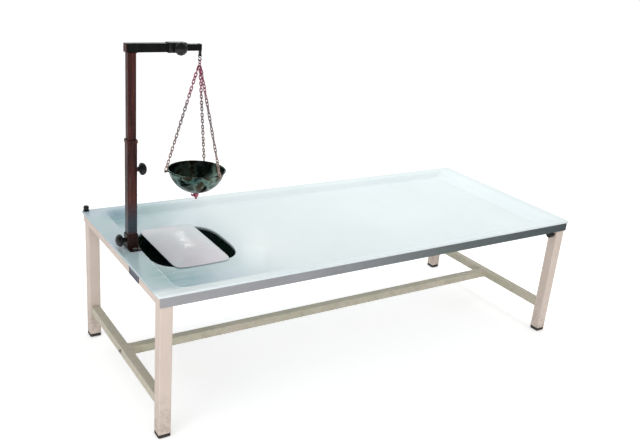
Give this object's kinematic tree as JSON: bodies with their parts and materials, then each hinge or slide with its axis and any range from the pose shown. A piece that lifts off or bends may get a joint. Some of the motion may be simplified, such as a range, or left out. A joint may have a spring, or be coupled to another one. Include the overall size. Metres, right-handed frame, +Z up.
{
  "type": "oil treatment table",
  "caption": "Long low oil-treatment table: white moulded tray on a square-tube frame, head basin with a lift-out rest, and a telescopic stand that hangs an oil bowl on chains.",
  "frame": {"origin": "on the floor under the middle of the table", "axes": "+X to the foot end, the stand is at -X; +Y to the far long side; +Z up"},
  "size_m": [2.134, 0.914, 1.421],
  "materials": {
    "white_gelcoat": "gloss white fibreglass gelcoat",
    "dark_gelcoat": "dark green-black gelcoat",
    "ivory_paint": "ivory paint, satin",
    "grey_trim": "dull grey strip",
    "brown_paint": "dark brown paint",
    "dark_steel": "dark grey-green paint",
    "black_plastic": "moulded black plastic",
    "plate_blue": "dark blue-grey plate, blank",
    "zinc": "zinc-plated steel",
    "stainless": "polished stainless steel",
    "brass": "dull brass",
    "copper": "copper-coloured fitting",
    "chain_metal": "dull plated chain"
  },
  "bodies": {
    "table": {"tray": "white_gelcoat", "basin": "dark_gelcoat", "rail_near": "ivory_paint", "rail_far": "ivory_paint", "rail_head": "ivory_paint", "rail_foot": "ivory_paint", "head_crossbar": "ivory_paint", "cross_support": "ivory_paint", "leg_head_near": "ivory_paint", "leg_head_far": "ivory_paint", "leg_foot_near": "ivory_paint", "leg_foot_far": "ivory_paint", "stretcher_head": "ivory_paint", "stretcher_foot": "ivory_paint", "stretcher_long": "ivory_paint", "trim_near": "grey_trim", "trim_far": "grey_trim", "stand_socket": "brown_paint", "foot_cap_head_near": "black_plastic", "foot_cap_head_far": "black_plastic", "foot_cap_foot_near": "black_plastic", "foot_cap_foot_far": "black_plastic", "corner_stud": "black_plastic", "name_plate": "plate_blue", "stretcher_bolt_head": "zinc", "stretcher_bolt_foot": "zinc", "socket_bolt_near": "zinc", "socket_bolt_far": "zinc", "drain_strainer": "stainless", "drain_spigot": "brass", "drain_locknut": "brass", "valve_body": "brass"},
    "socket_screw": {"socket_stud": "zinc"},
    "socket_knob": {"socket_knob": "black_plastic"},
    "stand": {"column_tube": "brown_paint", "column_collar": "brown_paint"},
    "column_screw": {"column_stud": "zinc"},
    "column_knob": {"column_knob": "black_plastic"},
    "mast": {"mast_tube": "brown_paint", "arm_tube": "dark_steel", "arm_plug": "brown_paint", "arm_collar": "black_plastic"},
    "arm_screw": {"arm_stud": "zinc"},
    "arm_knob": {"arm_knob": "black_plastic"},
    "arm_slide": {"arm_slide": "dark_steel", "hook_lug": "dark_steel"},
    "hook": {"s_hook": "stainless"},
    "bowl": {"hang_ring": "chain_metal", "chain_yoke": "copper", "chain_left": "chain_metal", "chain_far": "chain_metal", "chain_near": "chain_metal", "bowl": "stainless", "tap_body": "copper"},
    "tap_lever": {"tap_lever": "copper"},
    "valve": {"valve_vane": "stainless", "valve_lever": "stainless"},
    "head_rest": {"head_rest": "white_gelcoat"},
    "leg_bolt_near": {"leg_bolt_near": "black_plastic"},
    "leg_bolt_far": {"leg_bolt_far": "black_plastic"}
  },
  "joints": [
    {"name": "stand_lift", "type": "slide", "parent": "table", "child": "stand", "axis": [0, 0, 1], "range_m": [0, 0.045]},
    {"name": "socket_screw_travel", "type": "slide", "parent": "table", "child": "socket_screw", "axis": [-1, 0, 0], "range_m": [0, 0.004]},
    {"name": "socket_knob_turn", "type": "hinge", "parent": "socket_screw", "child": "socket_knob", "pos_m": [-1.032, 0, 0.642], "axis": [-1, 0, 0], "range_deg": [0, 1080]},
    {"name": "column_screw_travel", "type": "slide", "parent": "stand", "child": "column_screw", "axis": [1, 0, 0], "range_m": [0, 0.004]},
    {"name": "column_knob_turn", "type": "hinge", "parent": "column_screw", "child": "column_knob", "pos_m": [-0.975, 0, 0.93], "axis": [1, 0, 0], "range_deg": [0, 1080]},
    {"name": "mast_height", "type": "slide", "parent": "stand", "child": "mast", "axis": [0, 0, 1], "range_m": [-0.08, 0.2]},
    {"name": "arm_screw_travel", "type": "slide", "parent": "mast", "child": "arm_screw", "axis": [0, -1, 0], "range_m": [0, 0.004]},
    {"name": "arm_knob_turn", "type": "hinge", "parent": "arm_screw", "child": "arm_knob", "pos_m": [-0.823, -0.022, 1.396], "axis": [0, -1, 0], "range_deg": [0, 1080]},
    {"name": "arm_reach", "type": "slide", "parent": "mast", "child": "arm_slide", "axis": [1, 0, 0], "range_m": [0, 0.12]},
    {"name": "hook_swing", "type": "hinge", "parent": "arm_slide", "child": "hook", "pos_m": [-0.7292, 0, 1.37], "axis": [1, 0, 0], "range_deg": [-20, 20]},
    {"name": "bowl_swing", "type": "hinge", "parent": "hook", "child": "bowl", "pos_m": [-0.7292, 0, 1.3467], "axis": [0, -1, 0], "range_deg": [-5, 15]},
    {"name": "tap_turn", "type": "hinge", "parent": "bowl", "child": "tap_lever", "pos_m": [-0.7292, 0, 0.7985], "axis": [1, 0, 0], "range_deg": [0, 90]},
    {"name": "drain_turn", "type": "hinge", "parent": "table", "child": "valve", "pos_m": [-0.7725, 0, 0.4281], "axis": [0, -1, 0], "range_deg": [0, 90]},
    {"name": "head_rest_lift", "type": "slide", "parent": "table", "child": "head_rest", "axis": [0, 0, 1], "range_m": [0, 0.06]},
    {"name": "leg_bolt_near_turn", "type": "hinge", "parent": "table", "child": "leg_bolt_near", "pos_m": [1.0057, -0.421, 0.5384], "axis": [-1, 0, 0], "range_deg": [0, 360]},
    {"name": "leg_bolt_far_turn", "type": "hinge", "parent": "table", "child": "leg_bolt_far", "pos_m": [1.0057, 0.421, 0.5384], "axis": [-1, 0, 0], "range_deg": [0, 360]}
  ],
  "couplings": [
    {"joint": "socket_screw_travel", "follows": "socket_knob_turn", "m_per_rad": 0.00019894},
    {"joint": "column_screw_travel", "follows": "column_knob_turn", "m_per_rad": 0.00019894},
    {"joint": "arm_screw_travel", "follows": "arm_knob_turn", "m_per_rad": 0.00019894}
  ]
}
